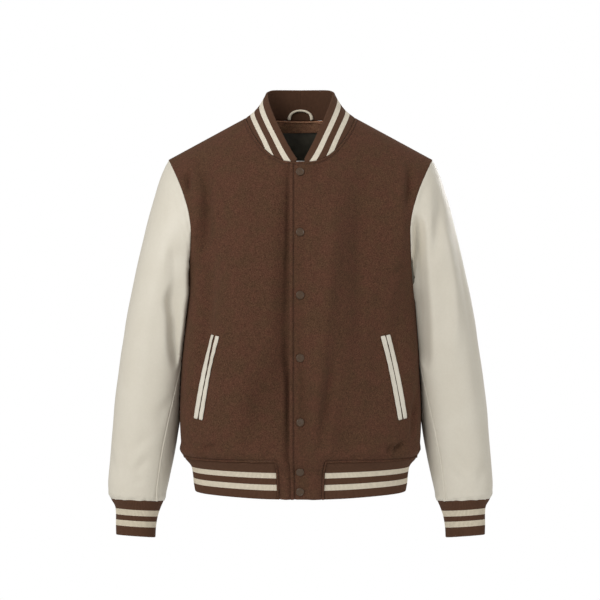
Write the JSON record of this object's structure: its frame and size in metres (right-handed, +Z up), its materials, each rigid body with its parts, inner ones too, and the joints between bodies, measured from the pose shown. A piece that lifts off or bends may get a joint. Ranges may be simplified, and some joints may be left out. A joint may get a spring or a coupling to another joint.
{
  "type": "varsity jacket",
  "caption": "Varsity jacket filled out as worn, wool body, leather sleeves, striped rib collar, cuffs and hem, snap front and slanted welt pockets.",
  "frame": {"origin": "where the wearer's shoulders carry it: on the centre plane, level with the points where the shoulder seams meet the collar", "axes": "+Z up, the front faces -Y, +X towards the wearer's left sleeve"},
  "size_m": [0.6824, 0.2726, 0.805],
  "materials": {
    "wool": "brown melton wool, matt, short nap",
    "sleeve_leather": "cream leather, fine grain, soft sheen",
    "rib_knit": "brown rib knit with two cream stripes, matt",
    "lining": "near-black smooth lining with a soft sheen",
    "snap_cap": "brown enamelled metal, satin",
    "loop_cord": "cream cord, matt"
  },
  "bodies": {
    "root": {"front_right": "wool", "front_left": "wool", "back": "wool", "neck_facing": "wool", "upper_sleeve_right": "sleeve_leather", "upper_sleeve_left": "sleeve_leather", "under_sleeve_right": "sleeve_leather", "under_sleeve_left": "sleeve_leather", "pocket_welt_right_a": "sleeve_leather", "pocket_welt_right_b": "sleeve_leather", "pocket_welt_left_a": "sleeve_leather", "pocket_welt_left_b": "sleeve_leather", "collar": "rib_knit", "hem_rib": "rib_knit", "cuff_right": "rib_knit", "cuff_left": "rib_knit", "back_lining": "lining", "snap_1": "snap_cap", "snap_2": "snap_cap", "snap_3": "snap_cap", "snap_4": "snap_cap", "snap_5": "snap_cap", "snap_6": "snap_cap", "snap_7": "snap_cap", "hanger_loop": "loop_cord"}
  },
  "joints": []
}
